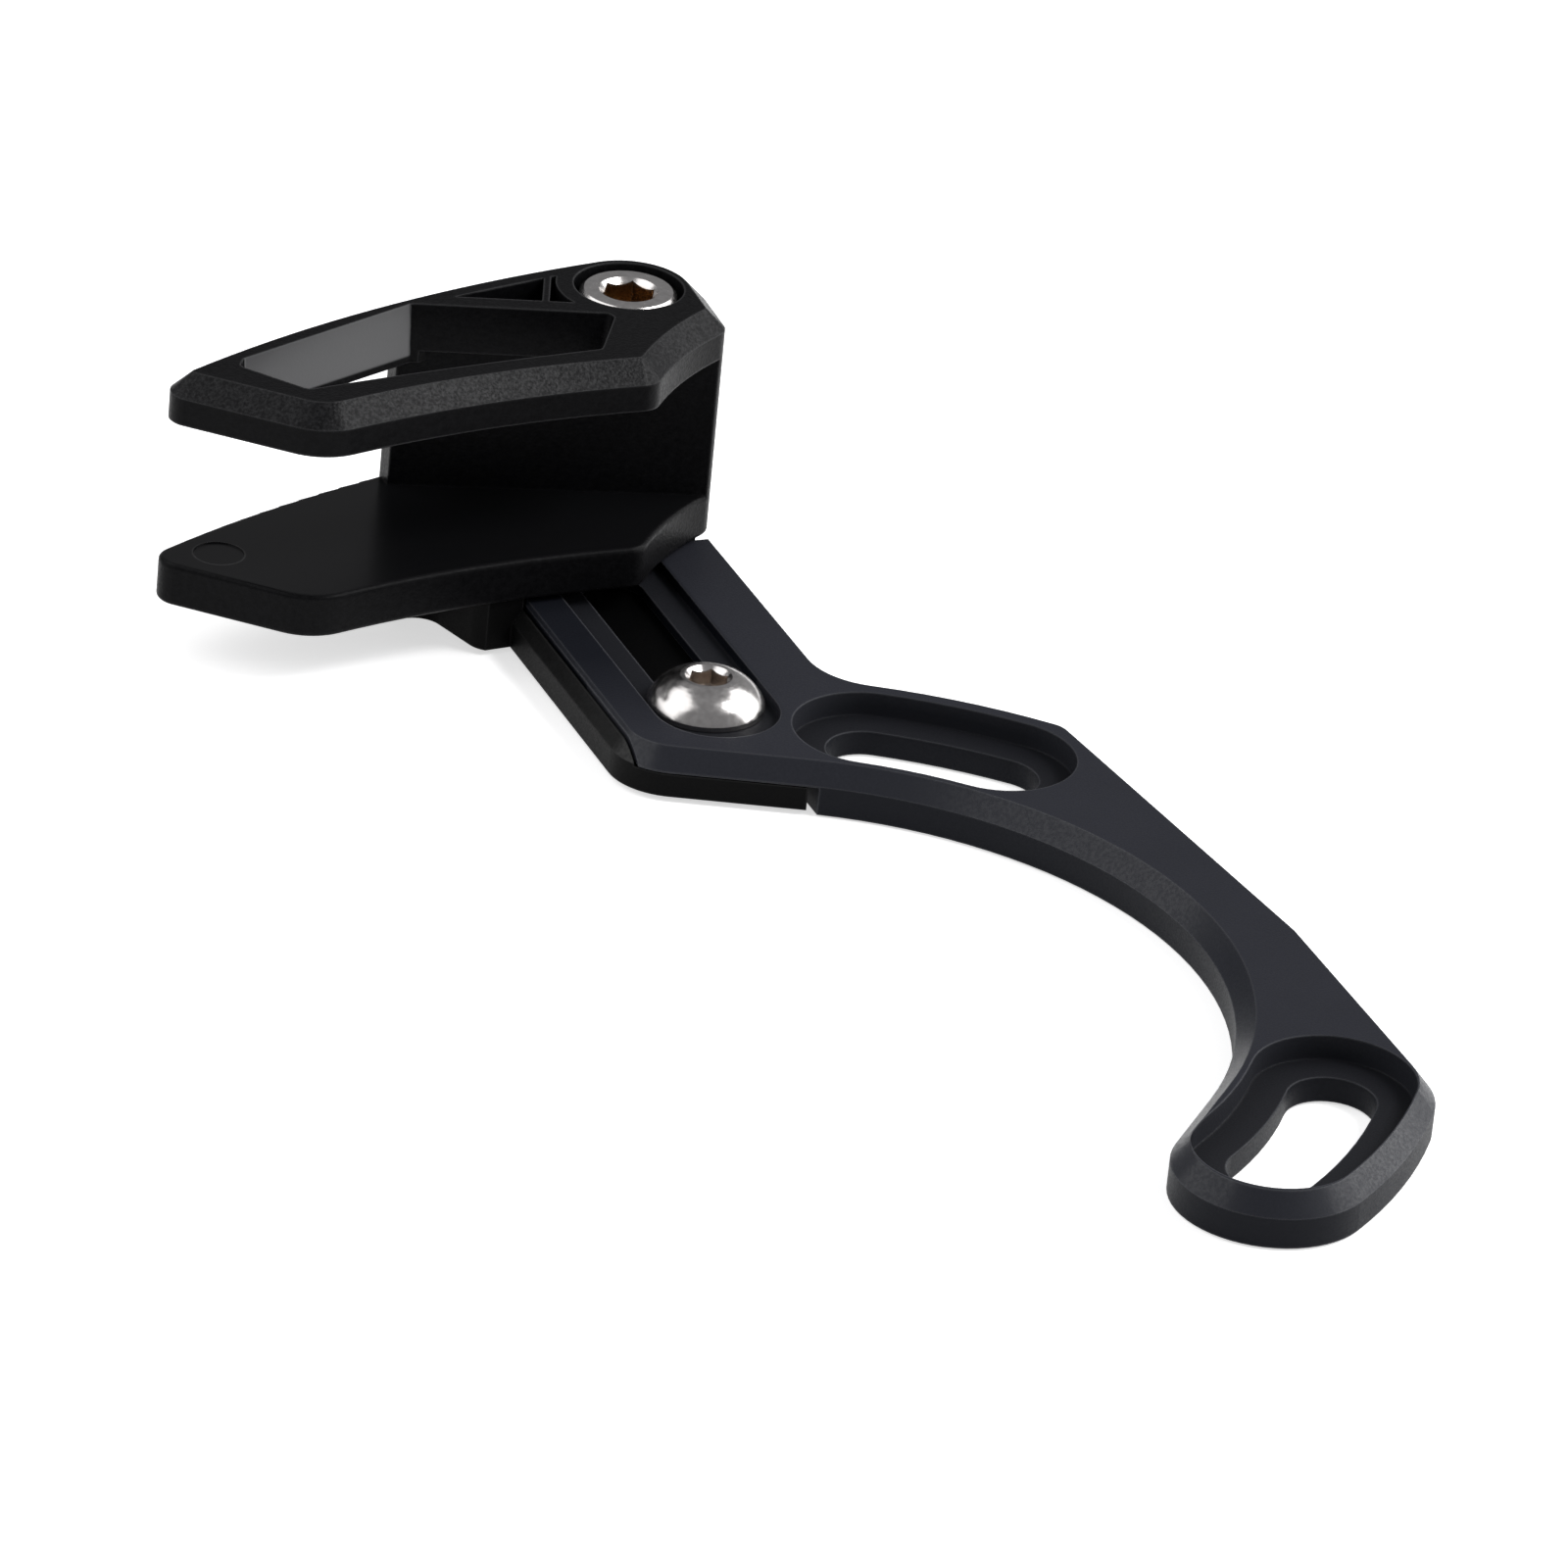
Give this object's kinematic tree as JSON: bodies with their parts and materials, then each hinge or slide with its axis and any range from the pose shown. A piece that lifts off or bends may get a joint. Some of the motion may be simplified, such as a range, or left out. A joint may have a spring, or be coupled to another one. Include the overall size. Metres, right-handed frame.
{
  "type": "bicycle chain guide",
  "caption": "Bicycle chain guide: a chamfered crescent arm with slotted bolt holes carries a sliding bracket and a moulded cage that keeps the chain on its ring.",
  "frame": {"origin": "centre of the circle that the arm's inner arc and both bolt slots share, which is the bottom bracket axis, on the arm's back face", "axes": "+Z points outboard, square to the arm's back face; +Y is the way in which the cage slides away from the bottom bracket; +X completes the right-handed frame, towards the arm's outer flank"},
  "size_m": [0.0711, 0.1286, 0.025],
  "materials": {
    "anodised_aluminium": "satin black anodised over a fine blasted surface",
    "anodised_carrier": "satin black anodised",
    "moulded_nylon": "black glass-filled nylon, spark-eroded texture outside and smooth inside",
    "stainless_steel": "bright stainless steel"
  },
  "bodies": {
    "arm": {"backplate_arm": "anodised_aluminium"},
    "slider": {"slider_carrier": "anodised_carrier", "chain_cage": "moulded_nylon", "cage_bolt": "stainless_steel", "clamp_bolt": "stainless_steel"}
  },
  "joints": [
    {"name": "cage_slide", "type": "slide", "parent": "arm", "child": "slider", "axis": [0, 1, 0], "range_m": [0, 0.0213]}
  ]
}
